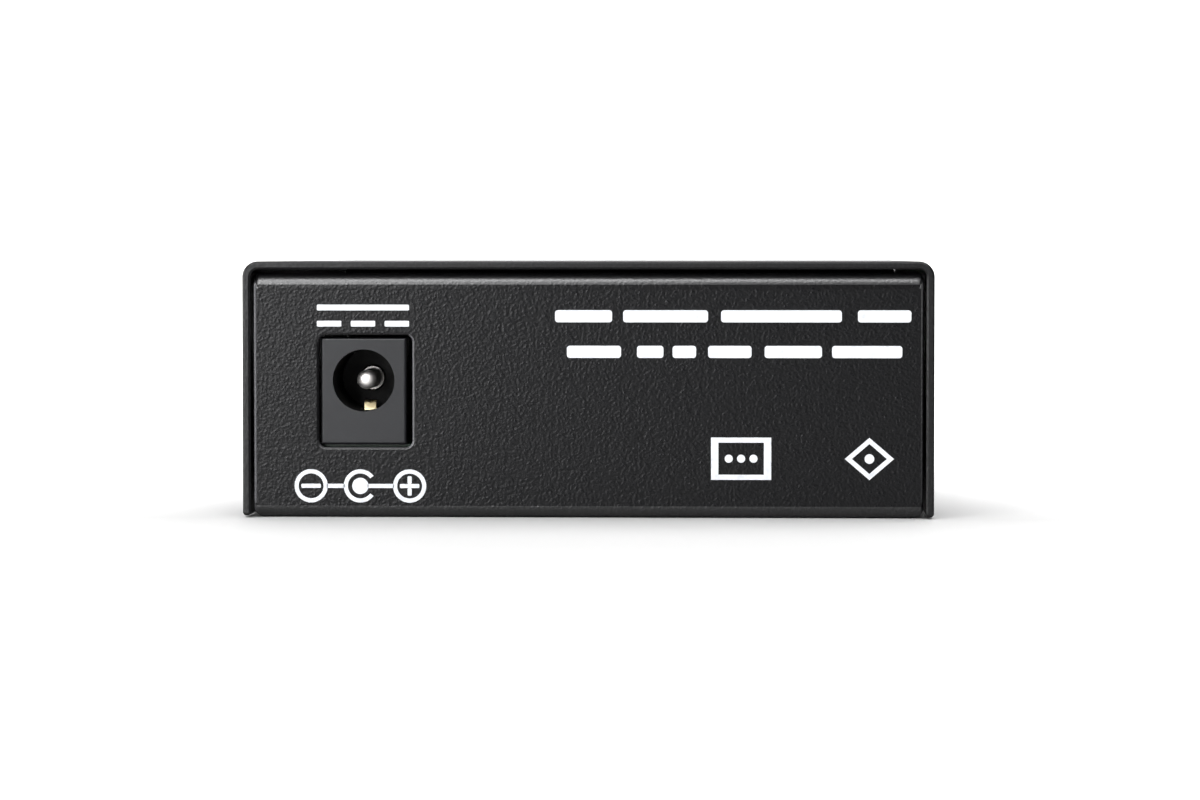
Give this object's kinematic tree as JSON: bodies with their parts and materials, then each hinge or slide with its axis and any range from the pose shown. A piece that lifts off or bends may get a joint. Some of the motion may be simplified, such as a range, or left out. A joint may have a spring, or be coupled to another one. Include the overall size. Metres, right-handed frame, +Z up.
{
  "type": "fibre media converter",
  "caption": "Small folded-steel media converter box with a barrel power jack at the rear, and a twisted-pair jack, a duplex fibre port and status lamps at the front.",
  "frame": {"origin": "centre of the footprint, on the underside of the floor", "axes": "+Z up; +X to the right when the rear panel with the power jack is looked at; the rear panel faces -Y and the port panel faces +Y"},
  "size_m": [0.07, 0.094, 0.026],
  "materials": {
    "painted_steel": "fine textured powder coat",
    "black_screws": "satin",
    "plated_steel": "satin",
    "board_laminate": "gloss",
    "jack_plastic": "satin",
    "nickel_plate": "bright",
    "gold_plate": "bright",
    "black_plastic": "satin",
    "clip_plastic": "satin",
    "ceramic": "gloss",
    "lamp_plastic": "gloss",
    "tinned_leads": "satin",
    "ferrite": "matt",
    "capacitor_can": "satin",
    "fuse_polymer": "matt"
  },
  "bodies": {
    "root": {"base_chassis": "painted_steel", "top_cover": "painted_steel", "cover_screws": "black_screws", "board_standoffs": "plated_steel", "board_screws": "plated_steel", "main_board": "board_laminate", "module_board": "board_laminate", "jack_housing": "jack_plastic", "jack_centre_pin": "nickel_plate", "jack_rear_contact": "nickel_plate", "lan_shield": "nickel_plate", "transmitter_can": "nickel_plate", "receiver_can": "nickel_plate", "crystal": "nickel_plate", "jack_sleeve_spring": "gold_plate", "jack_switch_contact": "gold_plate", "module_pins": "gold_plate", "lan_wire_1": "gold_plate", "lan_wire_2": "gold_plate", "lan_wire_3": "gold_plate", "lan_wire_4": "gold_plate", "lan_wire_5": "gold_plate", "lan_wire_6": "gold_plate", "lan_wire_7": "gold_plate", "lan_wire_8": "gold_plate", "lan_insert": "black_plastic", "fibre_receptacle": "black_plastic", "fibre_case": "black_plastic", "module_header": "black_plastic", "converter_chip": "black_plastic", "memory_chip": "black_plastic", "regulator_chip": "black_plastic", "line_transformer": "black_plastic", "rectifier_diode": "black_plastic", "lamp_holder_1": "black_plastic", "lamp_holder_2": "black_plastic", "lamp_holder_3": "black_plastic", "latch_clip_1": "clip_plastic", "latch_clip_2": "clip_plastic", "optical_sleeve_1": "ceramic", "optical_sleeve_2": "ceramic", "chip_capacitors": "ceramic", "lamp_1": "lamp_plastic", "lamp_2": "lamp_plastic", "lamp_3": "lamp_plastic", "lamp_4": "lamp_plastic", "lamp_5": "lamp_plastic", "lamp_6": "lamp_plastic", "converter_chip_leads": "tinned_leads", "memory_chip_leads": "tinned_leads", "regulator_chip_leads": "tinned_leads", "line_transformer_leads": "tinned_leads", "power_inductor": "ferrite", "chip_resistors": "ferrite", "capacitor_1": "capacitor_can", "capacitor_2": "capacitor_can", "capacitor_3": "capacitor_can", "resettable_fuse": "fuse_polymer"}
  },
  "joints": []
}
